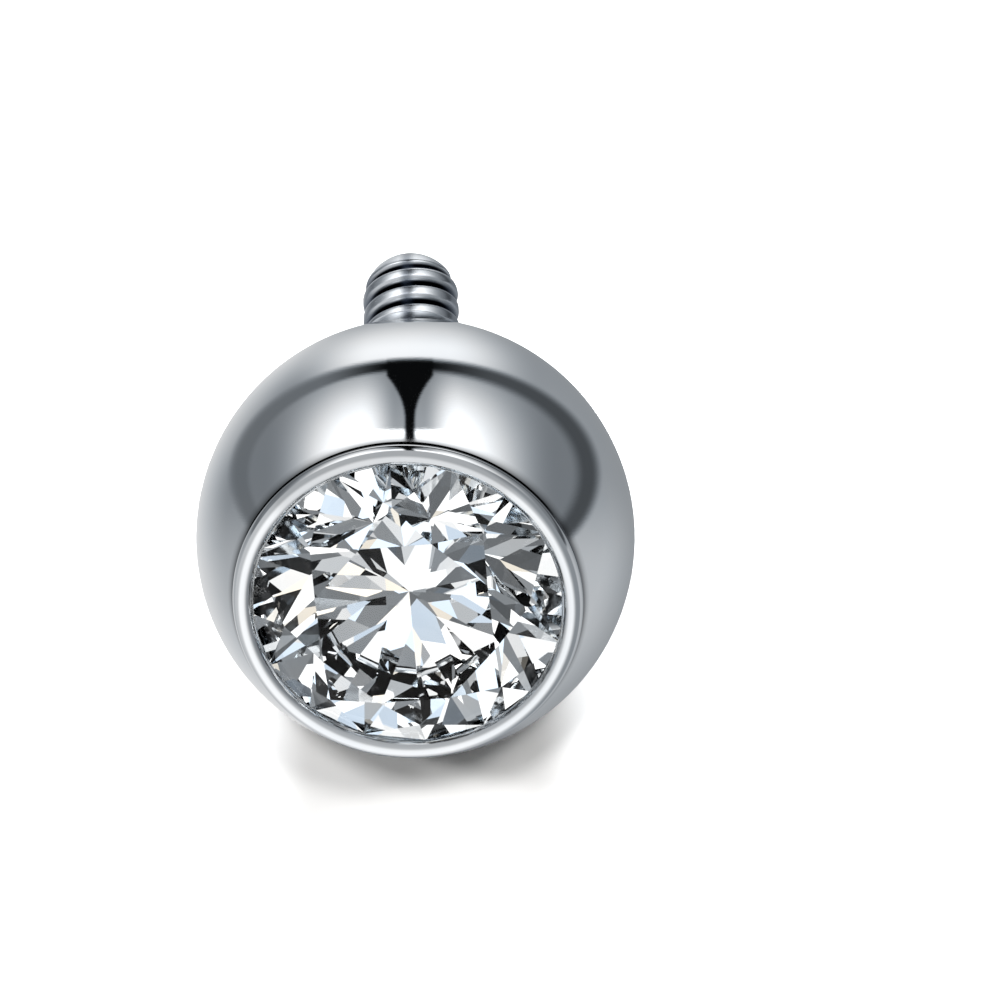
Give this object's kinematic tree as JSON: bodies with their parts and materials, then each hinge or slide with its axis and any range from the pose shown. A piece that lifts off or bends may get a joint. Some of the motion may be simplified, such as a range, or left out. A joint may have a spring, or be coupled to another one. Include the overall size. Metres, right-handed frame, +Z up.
{
  "type": "dermal anchor top",
  "caption": "Polished steel ball with a clear round brilliant stone in its rolled rim and a short threaded post that screws into a dermal anchor.",
  "frame": {"origin": "on the plane that the part lies on, under the middle of its outline seen from above", "axes": "+Z up from the plane, +Y towards the end of the post, +X across; the post's axis and the stone's axis both lie in the plane x = 0"},
  "size_m": [0.005, 0.0056, 0.0048],
  "materials": {
    "ball_steel": "polished",
    "post_steel": "polished",
    "clear_stone": "polished"
  },
  "bodies": {
    "root": {"ball": "ball_steel", "threaded_post": "post_steel", "stone": "clear_stone"}
  },
  "joints": []
}
